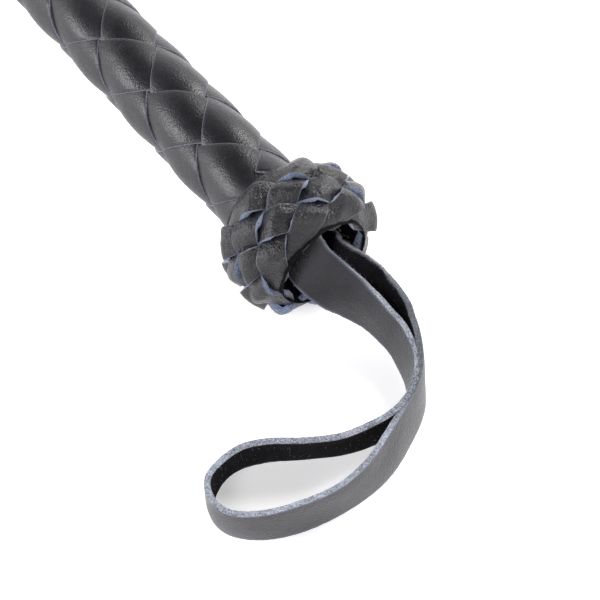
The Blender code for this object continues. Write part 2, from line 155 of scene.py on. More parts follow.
class Shader:
    """A material under construction."""

    def __init__(self, name: str) -> None:
        """Start a node material with one Principled shader."""
        self.material = bpy.data.materials.new(name)
        self.material.use_nodes = True
        self.tree = self.material.node_tree
        self.principled = self.tree.nodes["Principled BSDF"]

    def node(self, kind: str, settings: dict | None = None, inputs: dict | None = None) -> bpy.types.Node:
        """Add a node.

        Args:
            kind: the node's type.
            settings: properties that are set first.
            inputs: values or wires for its sockets, by name.

        Returns:
            The new node.
        """
        made = self.tree.nodes.new(kind)
        for key, value in (settings or {}).items():
            setattr(made, key, value)
        for key, value in (inputs or {}).items():
            if isinstance(value, Wire):
                self.tree.links.new(value.socket, made.inputs[key])
            else:
                made.inputs[key].default_value = value
        return made

    def wire(self, node: bpy.types.Node, output: str | int = 0) -> Wire:
        """One output of a node as a wire."""
        return Wire(self.tree, node.outputs[output])

    def object_place(self) -> Wire:
        """Object coordinates, in metres."""
        return self.wire(self.node("ShaderNodeTexCoord"), "Object")

    def surface_place(self) -> Wire:
        """The piece's own map: metres along it and across it."""
        return self.wire(self.node("ShaderNodeUVMap", {"uv_map": "strip"}))

    def split(self, place: Wire) -> tuple[Wire, Wire, Wire]:
        """The three parts of a vector."""
        node = self.node("ShaderNodeSeparateXYZ", inputs={"Vector": place})
        return self.wire(node, 0), self.wire(node, 1), self.wire(node, 2)

    def joined(self, x: Wire | float, y: Wire | float, z: Wire | float = 0.0) -> Wire:
        """A vector from three parts."""
        return self.wire(self.node("ShaderNodeCombineXYZ", inputs={"X": x, "Y": y, "Z": z}))

    def cloud(self, place: Wire, scale: float, detail: float = 3.0, roughness: float = 0.55) -> Wire:
        """Soft noise; scale counts waves to a metre."""
        node = self.node("ShaderNodeTexNoise", inputs={"Vector": place, "Scale": scale, "Detail": detail,
                                                       "Roughness": roughness})
        return self.wire(node, "Fac")

    def cells(self, place: Wire, scale: float, feature: str = "F1") -> Wire:
        """Distance in a cell pattern; scale counts cells to a metre."""
        node = self.node("ShaderNodeTexVoronoi", {"feature": feature}, {"Vector": place, "Scale": scale})
        return self.wire(node, "Distance")

    def colour(self, factor: Wire, first: Point, second: Point) -> Wire:
        """Mix of two fixed colours."""
        node = self.node("ShaderNodeMix", {"data_type": "RGBA"}, {"Factor": factor})
        node.inputs[6].default_value = (*first, 1.0)
        node.inputs[7].default_value = (*second, 1.0)
        return self.wire(node, 2)

    def over(self, factor: Wire, base: Wire, top: Point) -> Wire:
        """A fixed colour laid over a varying one."""
        node = self.node("ShaderNodeMix", {"data_type": "RGBA"}, {"Factor": factor})
        self.tree.links.new(base.socket, node.inputs[6])
        node.inputs[7].default_value = (*top, 1.0)
        return self.wire(node, 2)

    def relief(self, height: Wire, distance: float, strength: float = 1.0, under: Wire | None = None) -> Wire:
        """A bump from a height, stacked on another bump if one is given."""
        inputs = {"Height": height, "Distance": distance, "Strength": strength}
        if under is not None:
            inputs["Normal"] = under
        return self.wire(self.node("ShaderNodeBump", inputs=inputs), "Normal")

    def finish(self, **inputs: Wire | float | Point) -> bpy.types.Material:
        """Set the Principled shader's sockets and hand over the material.

        Args:
            inputs: socket names with _ for a space, and their values or wires.

        Returns:
            The finished material.
        """
        for key, value in inputs.items():
            slot = self.principled.inputs[key.replace("_", " ")]
            if isinstance(value, Wire):
                self.tree.links.new(value.socket, slot)
            elif isinstance(value, tuple):
                slot.default_value = (*value, 1.0) if len(slot.default_value) == 4 else value
            else:
                slot.default_value = value
        return self.material


# ---------------------------------------------------------------- finishes


@dataclass(frozen=True)
class GrainLeather:
    """The dyed grain side of leather, with pores, creases and rubbed edges."""

    name: str
    dark: Point = (0.010, 0.009, 0.012)
    light: Point = (0.030, 0.028, 0.034)
    rubbed: Point = (0.16, 0.18, 0.24)
    roughness: float = 0.42
    pore_size: float = 0.45 * MM
    pore_depth: float = 0.05 * MM
    crease_depth: float = 0.10 * MM
    crease_length: float = 4.5 * MM
    width: float = 12.0 * MM
    rub: float = 0.35 * MM
    sheen: float = 0.15
    speck: float = 0.25

    def make(self) -> bpy.types.Material:
        """Build the material."""
        shader = Shader(self.name)
        strip = shader.surface_place()
        across = shader.split(strip)[1]
        mottle = shader.cloud(strip, 1 / (9 * MM), 4.0)
        pores = shader.cells(shader.object_place(), 1 / self.pore_size)
        fine = shader.cloud(shader.object_place(), 1 / (0.40 * MM), 5.0, 0.75)
        crumple = shader.cloud(shader.object_place(), 1 / self.crease_length, 1.5, 0.4)
        fold = abs(shader.cloud(strip, 0.8 / self.crease_length, 2.0, 0.5) - 0.5).ramp(0.0, 0.05)
        edge = abs(across) + (fine - 0.5) * self.rub * 1.4
        worn = edge.ramp(self.width / 2 - self.rub * 1.5, self.width / 2 + self.rub * 0.2)
        tone = mottle * 0.7 + fine * 0.3
        dyed = shader.colour(tone.ramp(0.3, 0.72), self.dark, self.light)
        paint = shader.over(worn * 0.75, dyed, self.rubbed)
        speck = fine.ramp(0.60, 0.74) * self.speck
        paint = shader.over(speck, paint, self.rubbed)
        bump = shader.relief(crumple * 3.6 + fold * 0.35, self.crease_depth, 0.8)
        bump = shader.relief((0.75 - pores) * 0.9 + fine * 0.8, self.pore_depth, 1.0, bump)
        gloss = mottle * 0.16 + fine * 0.16 + worn * 0.2 + (self.roughness - 0.16)
        return shader.finish(Base_Color=paint, Roughness=gloss, Normal=bump, Specular_IOR_Level=0.50,
                             Sheen_Weight=self.sheen, Sheen_Roughness=0.45)


@dataclass(frozen=True)
class CutEdge:
    """The cut edge of leather, where the dye takes lighter on open fibre, darkened with painted shade from a
    given station on.
    """

    name: str
    dark: Point = (0.035, 0.045, 0.075)
    light: Point = (0.19, 0.23, 0.33)
    # Station along the strip from which the edge is darkened with painted shade; 0 for none.
    shade_from: float = 0.0

    def make(self) -> bpy.types.Material:
        """Build the material."""
        shader = Shader(self.name)
        place = shader.object_place()
        fibre = shader.cloud(place, 1 / (0.34 * MM), 6.0, 0.8)
        patch = shader.cloud(place, 1 / (5.0 * MM), 3.0)
        tone = (fibre * 0.8 + patch * 0.2).ramp(0.40, 0.60)
        paint = shader.colour(tone, self.dark, self.light)
        # Painted shade: past shade_from the edge fades towards its dark tone, standing in for the shade on
        # the strap's far run.
        if self.shade_from:
            along = shader.split(shader.surface_place())[0] + (fibre - 0.5) * 20 * MM
            painted_shade = along.ramp(self.shade_from, self.shade_from + 12 * MM) * 0.75
            paint = shader.over(painted_shade, paint, self.dark)
        bump = shader.relief(fibre, 0.12 * MM, 0.9)
        return shader.finish(Base_Color=paint, Roughness=0.85, Normal=bump, Sheen_Weight=0.35,
                             Sheen_Roughness=0.6)


@dataclass(frozen=True)
class FleshSide:
    """The suede-like inner side of leather, very dark and fibrous, lighter where its edge frays."""

    name: str
    dark: Point = (0.003, 0.003, 0.004)
    light: Point = (0.012, 0.012, 0.0145)
    frayed: Point = (0.17, 0.18, 0.21)
    fringe: float = 0.0

    def make(self) -> bpy.types.Material:
        """Build the material."""
        shader = Shader(self.name)
        place = shader.object_place()
        nap = shader.cloud(place, 1 / (0.45 * MM), 6.0, 0.75)
        lie = shader.cloud(place, 1 / (3.5 * MM), 3.0)
        paint = shader.colour((nap * 0.7 + lie * 0.3).ramp(0.35, 0.7), self.dark, self.light)
        if self.fringe:
            across = abs(shader.split(shader.surface_place())[1])
            tuft = shader.cloud(place, 1 / (0.28 * MM), 6.0, 0.8)
            edge = across + (tuft - 0.5) * 3.2 * MM + (lie - 0.5) * 1.2 * MM
            fray = edge.ramp(self.fringe / 2 - 0.7 * MM, self.fringe / 2 + 0.1 * MM) * 0.8
            paint = shader.over(fray, paint, self.frayed)
        bump = shader.relief(nap, 0.35 * MM, 1.0)
        return shader.finish(Base_Color=paint, Roughness=0.97, Normal=bump, Specular_IOR_Level=0.15)


@dataclass(frozen=True)
class TwistedThread:
    """Waxed thread laid in turns, with its twist showing."""

    name: str
    dark: Point = (0.006, 0.006, 0.008)
    light: Point = (0.035, 0.035, 0.042)
    twist: float = 0.9 * MM

    def make(self) -> bpy.types.Material:
        """Build the material."""
        shader = Shader(self.name)
        place = shader.object_place()
        x, y, z = shader.split(place)
        strand = ((x + y * 0.7 + z * 0.9) * (1 / self.twist)).part()
        ridge = abs(strand - 0.5) * 2.0
        fuzz = shader.cloud(place, 1 / (0.3 * MM), 5.0, 0.7)
        tone = ridge * 0.5 + fuzz * 0.5
        bump = shader.relief(1 - ridge + fuzz * 0.4, 0.12 * MM, 0.7)
        return shader.finish(Base_Color=shader.colour(tone.ramp(0.2, 0.8), self.dark, self.light),
                             Roughness=0.55 + fuzz * 0.25, Normal=bump)


@dataclass(frozen=True)
class BraidedYarn:
    """A tight braid of flat yarns round the shaft, with painted shade between the yarns."""

    name: str
    dark: Point = (0.004, 0.004, 0.005)
    light: Point = (0.040, 0.040, 0.047)
    pitch: float = 1.6 * MM

    def make(self) -> bpy.types.Material:
        """Build the material."""
        shader = Shader(self.name)
        along, across, _ = shader.split(shader.surface_place())
        first = (along + across) * (1 / self.pitch)
        second = (along - across) * (1 / self.pitch)
        turn = (first.whole() + second.whole()).maths("PINGPONG", 1.0)
        lean_a = abs(second.part() - 0.5) * 2.0
        lean_b = abs(first.part() - 0.5) * 2.0
        yarn = lean_a * turn + lean_b * (1 - turn)
        ridge = (1 - yarn ** 2).maths("MAXIMUM", 0.0) ** 0.5
        run = first * turn + second * (1 - turn)
        filament = (run * 0.2 + (lean_a * turn + lean_b * (1 - turn)) * 5.0).part()
        fuzz = shader.cloud(shader.object_place(), 1 / (0.4 * MM), 4.0, 0.7)
        # Painted shade and light: the colour follows each yarn's rounded crest, darker in the grooves between
        # yarns and lighter on the crests.
        tone = ridge * 0.6 + fuzz * 0.25 + abs(filament - 0.5) * 0.3
        bump = shader.relief(ridge + abs(filament - 0.5) * 0.15, 0.28 * MM, 0.9)
        return shader.finish(Base_Color=shader.colour(tone.ramp(0.2, 1.0), self.dark, self.light),
                             Roughness=0.42 + fuzz * 0.2, Normal=bump)


@dataclass(frozen=True)
class RawStock:
    """Hidden stock: turned wood, glass fibre or undyed leather, streaked along its length."""

    name: str
    dark: Point
    light: Point
    roughness: float = 0.7
    streak: float = 14.0

    def make(self) -> bpy.types.Material:
        """Build the material."""
        shader = Shader(self.name)
        x, y, z = shader.split(shader.object_place())
        streaks = shader.cloud(shader.joined(x * (1 / self.streak), y, z), 1 / (0.9 * MM), 5.0, 0.65)
        broad = shader.cloud(shader.object_place(), 1 / (12 * MM), 3.0)
        tone = (streaks * 0.7 + broad * 0.3).ramp(0.3, 0.7)
        return shader.finish(Base_Color=shader.colour(tone, self.dark, self.light),
                             Roughness=self.roughness + streaks * 0.15,
                             Normal=shader.relief(streaks, 0.05 * MM, 0.5))


class Face(Enum):
    """Which material slot a face of a leather strip takes."""

    GRAIN = 0
    FLESH = 1
    EDGE = 2


@dataclass(frozen=True)
class LeatherSet:
    """The three finishes of one leather piece."""

    grain: GrainLeather
    edge: CutEdge
    flesh: FleshSide

    def dress(self, piece: bpy.types.Object) -> None:
        """Give a strip its grain, flesh and edge materials, in slot order."""
        for finish in (self.grain, self.flesh, self.edge):
            piece.data.materials.append(finish.make())


# ---------------------------------------------------------------- mesh helpers


def link(name: str, mesh: bpy.types.Mesh) -> bpy.types.Object:
    """Put a mesh in the scene as a piece at the origin."""
    piece = bpy.data.objects.new(name, mesh)
    bpy.context.scene.collection.objects.link(piece)
    return piece


def mesh_of(name: str, body: bmesh.types.BMesh, smooth: bool = True) -> bpy.types.Object:
    """Turn a bmesh into a piece.

    Args:
        name: the piece's name.
        body: the bmesh, which is freed.
        smooth: whether its faces are shaded smooth.

    Returns:
        The new object.
    """
    mesh = bpy.data.meshes.new(name)
    for face in body.faces:
        face.smooth = smooth
    body.to_mesh(mesh)
    body.free()
    return link(name, mesh)


def strip(name: str, steps: int, across: int, length: float, width: float, placer: Placer,
          closed: bool = False) -> bpy.types.Object:
    """A sheet of quads laid along a path.

    Args:
        name: the piece's name.
        steps: quads along the path.
        across: quads over its width.
        length: metres along the path, for its map.
        width: metres across it, for its map.
        placer: gives the place of a point from its share along (0 to 1) and across (-1 to 1).
        closed: whether the end meets the start.

    Returns:
        The open sheet.
    """
    body = bmesh.new()
    bmesh.ops.create_grid(body, x_segments=steps, y_segments=across, size=0.5)
    layer = body.loops.layers.uv.new("strip")
    for face in body.faces:
        for corner in face.loops:
            place = corner.vert.co
            corner[layer].uv = ((place.x + 0.5) * length, place.y * width)
    for vertex in body.verts:
        vertex.co = placer(vertex.co.x + 0.5, vertex.co.y * 2.0)
    if closed:
        bmesh.ops.remove_doubles(body, verts=body.verts, dist=MERGE_DISTANCE)
    return mesh_of(name, body)


def thicken(piece: bpy.types.Object, thickness: float, rounding: float) -> None:
    """Give a sheet its thickness below the grain side, with cut and softened edges.

    Args:
        piece: the sheet.
        thickness: leather thickness.
        rounding: width of the softened corner.
    """
    wall = piece.modifiers.new("wall", "SOLIDIFY")
    wall.thickness = thickness
    wall.offset = -1.0
    wall.use_even_offset = False
    wall.use_rim = True
    wall.material_offset = Face.FLESH.value
    wall.material_offset_rim = Face.EDGE.value
    soften = piece.modifiers.new("soften", "BEVEL")
    soften.width = rounding
    soften.segments = 2
    soften.limit_method = "ANGLE"
    soften.angle_limit = math.radians(50)
    soften.harden_normals = False


def lathe(name: str, profile: Sequence[tuple[float, float]], axis: "ShaftAxis", steps: int = 72,
          closed: bool = True) -> bpy.types.Object:
    """A shape turned round the shaft's axis, mapped along the profile and round the axis.

    Args:
        name: the piece's name.
        profile: (station, radius) points.
        axis: the shaft's axis.
        steps: sides of the turning.
        closed: whether the profile's last point joins the first.

    Returns:
        The turned piece.
    """
    body = bmesh.new()
    points = [body.verts.new(axis.place(0.0, radius, station)) for station, radius in profile]
    pairs = list(zip(points, points[1:]))
    if closed:
        pairs.append((points[-1], points[0]))
    edges = [body.edges.new(pair) for pair in pairs]
    bmesh.ops.spin(body, geom=points + edges, cent=axis.origin, axis=axis.toward, angle=2 * math.pi,
                   steps=steps, use_merge=True, use_duplicate=False)
    bmesh.ops.remove_doubles(body, verts=body.verts, dist=MERGE_DISTANCE / 2)
    bmesh.ops.recalc_face_normals(body, faces=body.faces)
    layer = body.loops.layers.uv.new("strip")
    for face in body.faces:
        middle = axis.read(face.calc_center_median())[0]
        for corner in face.loops:
            angle, _, station = axis.read(corner.vert.co)
            while angle - middle > math.pi:
                angle -= 2 * math.pi
            while middle - angle > math.pi:
                angle += 2 * math.pi
            corner[layer].uv = (station, angle)
    return mesh_of(name, body)


def weave_wave(place: float, tightness: float) -> float:
    """Height of a woven strand along its run.

    Args:
        place: crossings passed; even numbers lie on top and odd ones beneath.
        tightness: above 1 the strand hugs the one it passes under and humps over the next.

    Returns:
        1 on top of a crossing, -1 beneath one.
    """
    return 2 * (math.cos(math.pi * place / 2) ** 2) ** tightness - 1


def flow(rows: Sequence[Point], value: float) -> tuple[float, ...]:
    """Read a table of rows at a fractional row number, on a smooth curve through the rows.

    Args:
        rows: the table.
        value: row number, with its fraction.

    Returns:
        The row's values there.
    """
    last = len(rows) - 1
    start = min(max(int(math.floor(value)), 0), last - 1)
    share = value - start
    before = rows[max(start - 1, 0)]
    after = rows[min(start + 2, last)]
    t2 = share * share
    t3 = t2 * share
    return tuple((2 * t3 - 3 * t2 + 1) * p1 + (t3 - 2 * t2 + share) * (p2 - p0) / 2
                 + (3 * t2 - 2 * t3) * p2 + (t3 - t2) * (p3 - p1) / 2
                 for p0, p1, p2, p3 in zip(before, rows[start], rows[start + 1], after))


# ---------------------------------------------------------------- the shaft's own frame


@dataclass
class ShaftAxis:
    """The straight line through the rod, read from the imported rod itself."""

    butt_radius: float = 3.2 * MM
    tip_radius: float = 1.6 * MM
    butt_stub: float = 5.5 * MM
    origin: Vector = field(init=False)
    toward: Vector = field(init=False)
    down: Vector = field(init=False)
    side: Vector = field(init=False)

    def __post_init__(self) -> None:
        """Find the axis from the rod's box."""
        low, high = (Vector(corner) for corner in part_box("core_rod"))
        middle_y = (low.y + high.y) / 2
        butt = Vector((high.x, middle_y, high.z - self.butt_radius))
        tip = Vector((low.x, middle_y, low.z + self.tip_radius))
        self.toward = (butt - tip).normalized()
        self.origin = butt - self.toward * self.butt_stub
        self.side = Vector((0.0, 1.0, 0.0))
        self.down = self.side.cross(self.toward).normalized()

    def place(self, angle: float, radius: float, station: float) -> Vector:
        """A point at an angle from straight down, a radius and a station toward the pommel."""
        spoke = self.down * math.cos(angle) + self.side * math.sin(angle)
        return self.origin + self.toward * station + spoke * radius

    def read(self, point: Vector) -> tuple[float, float, float]:
        """Angle, radius and station of a point."""
        offset = point - self.origin
        across, up = offset.dot(self.side), offset.dot(self.down)
        return math.atan2(across, up), math.hypot(across, up), offset.dot(self.toward)


# ---------------------------------------------------------------- leathers

PLAIT_LEATHER = LeatherSet(
    GrainLeather("plait_grain", width=14.2 * MM, roughness=0.33, crease_depth=0.03 * MM, rub=0.22 * MM,
                 dark=(0.006, 0.0055, 0.007), light=(0.014, 0.013, 0.016), sheen=0.0),
    CutEdge("plait_edge", dark=(0.03, 0.033, 0.04), light=(0.26, 0.28, 0.33)),
    FleshSide("plait_flesh"))
KNOT_LEATHER = LeatherSet(
    GrainLeather("knot_grain", width=6.8 * MM, roughness=0.28, pore_size=0.55 * MM, pore_depth=0.15 * MM,
                 crease_depth=0.20 * MM, crease_length=3.0 * MM, rub=0.18 * MM,
                 dark=(0.005, 0.0045, 0.006), light=(0.013, 0.012, 0.014), sheen=0.0),
    CutEdge("knot_edge", dark=(0.055, 0.075, 0.13), light=(0.37, 0.45, 0.66)), FleshSide("knot_flesh"))
STRAP_LEATHER = LeatherSet(
    GrainLeather("strap_grain", width=11.4 * MM, dark=(0.005, 0.0047, 0.007), light=(0.018, 0.017, 0.0225),
                 roughness=0.40, pore_depth=0.10 * MM, crease_depth=0.05 * MM, rub=0.5 * MM, speck=0.5),
    # The strap's cut edge from 152 mm along, on its far run, is darkened with painted shade.
    CutEdge("strap_edge", shade_from=152 * MM, dark=(0.03, 0.034, 0.045), light=(0.42, 0.46, 0.54)),
    FleshSide("strap_flesh", fringe=11.4 * MM))


KEEPER_LEATHER = LeatherSet(
    GrainLeather("keeper_grain", width=26 * MM, dark=(0.010, 0.0095, 0.012), light=(0.022, 0.021, 0.026),
                 roughness=0.40, crease_depth=0.04 * MM, rub=0.4 * MM, sheen=0.0),
    CutEdge("keeper_edge", dark=(0.03, 0.034, 0.045), light=(0.22, 0.24, 0.30)),
    FleshSide("keeper_flesh"))


# ---------------------------------------------------------------- the handle's plait


@dataclass
class HandlePlait:
    """Six flat strands woven round the handle, three each way."""

    axis: ShaftAxis
    length: float = 238 * MM
    butt_radius: float = 10.7 * MM
    front_radius: float = 8.2 * MM
    butt_end: float = 2.5 * MM
    thickness: float = 1.3 * MM
    strands: int = 6
    row: float = 10.05 * MM
    first_cell: float = 58.1 * MM
    phase: float = math.radians(-146.0)
    fill: float = 0.478
    tuck: float = 0.5
    rise: float = 0.72 * MM
    crown: float = 0.34 * MM
    tightness: float = 1.15

    def radius(self, station: float) -> float:
        """Outside radius of the handle at a station."""
        return self.butt_radius + (self.front_radius - self.butt_radius) * -station / self.length

    def placer(self, own: int, rising: bool, start: float, stop: float) -> Placer:
        """The surface of one strand.

        Args:
            own: the strand's number among those that run its way.
            rising: which way round it runs.
            start: lattice place of its front end.
            stop: lattice place of its butt end.

        Returns:
            A function from shares along and across to a place.
        """
        step = 2 * math.pi / self.strands
        shift = 0.0 if (own % 2 == 0) == rising else 1.0
        seed = own * 7.3 + (0.0 if rising else 31.0)

        def place(along: float, across: float) -> Vector:
            """Place of one point of the strand."""
            spot = start + (stop - start) * along
            wander = noise.noise(Vector((spot * 0.9, seed, 0.0))) * 0.022
            side = across * self.fill * (1 + 0.02 * noise.noise(Vector((spot * 1.7, seed, 5.0)))) + wander
            row = own + side + spot
            column = own + side - spot if rising else spot - own - side
            station = row * self.row - self.first_cell
            wave = weave_wave(spot + shift, self.tightness)
            swell = self.crown * (1 - across * across) - self.crown * 0.55
            soft = noise.noise(Vector((spot * 2.1, side * 4.0, seed))) * 0.10 * MM
            radius = self.radius(station) - self.rise + self.rise * wave + swell + soft
            return self.axis.place(self.phase + column * step, radius, station)

        return place

    def build(self) -> list[bpy.types.Object]:
        """Weave every strand in place of its plain one."""
        pieces = []
        per_way = self.strands // 2
        first_row = (self.first_cell - self.length) / self.row
        last_row = (self.first_cell - self.butt_end) / self.row
        for number in range(self.strands):
            own, rising = number % per_way, number < per_way
            start, stop = first_row + self.fill - self.tuck - own, last_row - self.fill - own
            steps = int((stop - start) * 17)
            length = (stop - start) * 14.8 * MM
            name = "woven_strand_%d" % (number + 1)
            piece = strip(name, steps, 14, length, 14.2 * MM, self.placer(own, rising, start, stop))
            if rising:
                piece.data.flip_normals()
            thicken(piece, self.thickness, 0.22 * MM)
            PLAIT_LEATHER.dress(piece)
            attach(piece, "crop")
            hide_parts("plait_strand_%d" % (number + 1))
            pieces.append(piece)
            LOG.info("wove %s in %d steps", name, steps)
        return pieces


# ---------------------------------------------------------------- Turk's head knots


@dataclass
class TurksHead:
    """A knot of one flat strand tied over a barrel."""

    axis: ShaftAxis
    node: str
    name: str
    radius: float
    profile: Sequence[tuple[float, float]]
    leads: int
    bights: int
    thickness: float
    middle: float = 0.0
    phase: float = math.radians(-173.5)
    fill: float = 0.465
    rise: float = 1.25 * MM
    crown: float = 0.20 * MM
    tightness: float = 1.9
    steps_per_cell: int = 13

    def surface(self, row: float, depth: float) -> tuple[float, float]:
        """Radius and station at a lattice row, at a depth below the outside."""
        rows = [(station * MM, self.radius - inside * MM) for station, inside in self.profile]
        station, radius = flow(rows, row + 1)
        ahead, behind = flow(rows, row + 1.02), flow(rows, row + 0.98)
        run = Vector((ahead[0] - behind[0], ahead[1] - behind[1])).normalized()
        return radius - run.x * depth, self.middle + station + run.y * depth

    def centre_line(self, cell: float) -> tuple[float, float, float, float, float]:
        """The strand's middle at a place along it, counted in crossings.

        Args:
            cell: crossings passed, with the fraction of the way to the next.

        Returns:
            Column, row, the two parts of the step across, and the weave's wave.
        """
        per_leg = self.leads - 1
        shifted = cell + 0.5
        leg = int(math.floor(shifted / per_leg)) % (2 * self.bights)
        inside = shifted - per_leg * math.floor(shifted / per_leg)
        climbing = leg % 2 == 0
        start = -leg * self.leads
        wave = weave_wave(cell, self.tightness)
        fill = 0.41
        first, last = 0.5 - fill, per_leg - 0.5 + fill
        if first <= inside <= last:
            pace = inside + 0.5
            row = pace if climbing else self.leads - pace
            lean = -fill if climbing else fill
            return start - pace, row, lean, -fill, wave
        if inside > last:
            share = 0.5 * (inside - last) / (0.5 - fill)
            apex, at_top = start - self.leads, climbing
        else:
            share = 0.5 + 0.5 * inside / (0.5 - fill)
            apex, at_top = start, not climbing
        swing = math.pi * share
        lift = 1 - fill - 0.3 * math.sin(swing)
        row = self.leads - lift if at_top else lift
        lean = (-fill if at_top else fill) * math.cos(swing)
        column = apex + (1 - fill) * (1 - 2 * share)
        return column, row, lean, -(fill + 0.31 * math.sin(swing)), wave

    def place(self, along: float, across: float) -> Vector:
        """Place of one point of the strand."""
        total = 2 * self.bights * (self.leads - 1)
        column, row, lean, reach, wave = self.centre_line(along * total - 0.5)
        widen = across * self.fill / 0.41
        turn = along * 40.0
        soft = noise.noise(Vector((math.cos(turn) * 6, math.sin(turn) * 6, across * 2))) * 0.14
        swell = self.crown * (1 - across * across) - self.crown * 0.5
        depth = self.rise * (1 - wave) - swell - soft * MM
        spot_row, spot_column = row + widen * reach, column + widen * lean
        radius, station = self.surface(spot_row, depth)
        return self.axis.place(self.phase + spot_column * math.pi / self.bights, radius, station)

    def build(self, leather: LeatherSet, width: float) -> bpy.types.Object:
        """Tie the knot in place of the plain one."""
        total = 2 * self.bights * (self.leads - 1)
        steps = total * self.steps_per_cell
        piece = strip(self.name, steps, 12, total * width * 1.2, width, self.place, closed=True)
        thicken(piece, self.thickness, 0.2 * MM)
        leather.dress(piece)
        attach(piece, "crop")
        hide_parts(self.node)
        LOG.info("tied %s in %d steps", self.name, steps)
        return piece


# ---------------------------------------------------------------- wrist strap


@dataclass
class WristStrap:
    """One flat strap: its ends tied inside the knot, its loop standing on its edge."""

    axis: ShaftAxis
    width: float = 11.4 * MM
    thickness: float = 1.4 * MM
    steps: int = 560
    # Middle of the strap: x and y in mm from the knot's middle, rise (0 standing on the floor, 1 level with
    # the knot's middle) and lean in degrees. All but a few of these rows came out of a fitting program, so
    # this list is not an example of a route chosen by hand.
    route: Sequence[Point] = (
        (1.4, -3.1, 1.24, 44), (6.0, -3.1, 1.245, 44), (9.9, -3.0, 1.084, 43), (12.5, -2.1, 0.93, 41),
        (15.6, -0.4, 0.725, 30), (19.4, 2.1, 0.465, 15), (24.1, 4.4, 0.247, 7), (29.5, 5.5, 0.079, 9),
        (34.2, 4.8, 0, 10.5), (38.4, 3.4, 0, 8.5), (42.2, 0.7, 0, 5), (45.2, -3.3, 0, 2.5),
        (46.6, -8.6, 0, 4), (46.0, -14.6, 0, 8), (44.0, -21.2, 0, 13), (40.3, -27.9, 0, 13),
        (35.8, -34.2, 0, 11), (33.6, -40.2, 0, 9), (34.1, -45.9, 0, 5), (36.7, -50.8, 0, -2),
        (41.4, -52.6, 0, -6), (46.4, -51.1, 0, -6), (50.6, -46.2, 0, -2), (53.6, -38.6, 0, 1),
        (55.2, -29.7, 0, 1), (54.9, -21.5, 0, 6), (52.5, -13.7, 0, 13), (49.1, -6.2, 0, 12),
        (45.4, 0.2, 0, 9), (41.4, 4.2, 0, 5), (37.1, 7.0, 0, 2), (32.6, 8.8, 0.04, -2),
        (28.0, 9.4, 0.125, -7), (23.6, 8.5, 0.305, -15), (19.6, 6.7, 0.514, -26),
        (16.5, 4.6, 0.745, -38), (13.4, 2.4, 0.917, -43), (10.3, 1.5, 0.966, -44),
        (6.0, 3.0, 0.777, -44), (1.4, 3.1, 0.76, -44))

    def spot(self, row: Sequence[float]) -> Vector:
        """Where a row of the route lies."""
        knot = self.axis.origin
        standing = self.width / 2 + 0.1 * MM
        return Vector((knot.x + row[0] * MM, knot.y + row[1] * MM, standing + (knot.z - standing) * row[2]))

    def frame_at(self, along: float) -> tuple[Vector, Vector, Vector]:
        """Middle, width direction and face direction of the strap at a share along it."""
        span = (len(self.route) - 1) * along
        here = flow(self.route, span)
        ahead = flow(self.route, min(span + 0.05, len(self.route) - 1))
        behind = flow(self.route, max(span - 0.05, 0.0))
        run = (self.spot(ahead) - self.spot(behind)).normalized()
        left = Vector((-run.y, run.x, 0.0)).normalized()
        roll = math.radians(here[3])
        width = Vector((0.0, 0.0, math.cos(roll))) + left * math.sin(roll)
        width = (width - run * width.dot(run)).normalized()
        return self.spot(here), width, run.cross(width).normalized()

    def place(self, along: float, across: float) -> Vector:
        """Place of one point of the strap's grain side."""
        centre, width, face = self.frame_at(along)
        span = along * 230.0
        ragged = noise.noise(Vector((span * 1.1, across * 3.0, 2.0))) * 0.10 * MM
        ragged += noise.noise(Vector((span * 3.7, across * 3.0, 9.0))) * 0.09 * MM
        reach = across * self.width / 2 + (ragged if abs(across) > 0.97 else 0.0)
        cup = -0.25 * MM * across * across
        ripple = noise.noise(Vector((span * 0.12, across * 0.8, 4.0))) * 0.25 * MM
        return centre + width * reach + face * (self.thickness / 2 + cup + ripple)

    def build(self) -> bpy.types.Object:
        """Lay the strap in place of the plain loop and its two ends."""
        piece = strip("strap", self.steps, 14, 228 * MM, self.width, self.place)
        thicken(piece, self.thickness, 0.18 * MM)
        STRAP_LEATHER.dress(piece)
        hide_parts("wrist_strap", "strap_tail_upper", "strap_tail_lower")
        self.blend(piece)
        LOG.info("laid the strap")
        return piece

    def blend(self, piece: bpy.types.Object) -> None:
        """Bake a piece's placement into its mesh."""
        mouth = self.axis.place(0.0, 0.0, 12.4 * MM)
        tuple(mouth - self.axis.toward * 2.5 * MM)
        tuple(mouth + self.axis.toward * 7.0 * MM)
        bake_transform(piece)

    def fuzz(self, count: int = 2600) -> bpy.types.Object:
        """Loose fibres along the cut edges and the flesh side."""
        chance = random.Random(5)
        body = bmesh.new()
        for _ in range(count):
            along = chance.uniform(0.06, 0.94)
            centre, width, face = self.frame_at(along)
            on_edge = chance.random() < 0.8
            side = chance.choice((-1.0, 1.0))
            if on_edge:
                sunk = self.thickness * chance.uniform(-0.6, 0.3)
                base = centre + width * side * self.width / 2 + face * sunk
                lean = width * side + face * chance.gauss(-0.3, 0.5)
            else:
                base = centre + width * self.width * chance.uniform(-0.5, 0.5) - face * self.thickness * 0.55
                lean = -face + width * chance.gauss(0.0, 0.6)
            if base.z < 0.6 * MM:
                continue
            run = width.cross(face)
            heading = (lean + run * chance.gauss(0.0, 0.9)).normalized()
            depth = chance.uniform(0.15, 0.6) * MM
            turn = heading.to_track_quat("Z", "Y").to_matrix().to_4x4()
            spot = Matrix.Translation(base + heading * depth * 0.35) @ turn
            bmesh.ops.create_cone(body, cap_ends=True, segments=3, radius1=0.045 * MM, radius2=0.015 * MM,
                                  depth=depth, matrix=spot)
        piece = mesh_of("strap_fuzz", body)
        fibre = CutEdge("fuzz_fibre", dark=(0.02, 0.02, 0.026), light=(0.36, 0.38, 0.44))
        piece.data.materials.append(fibre.make())
        self.blend(piece)
        return piece


# ---------------------------------------------------------------- thread, braid, core and keeper

WAXED_THREAD = TwistedThread("waxed_thread")


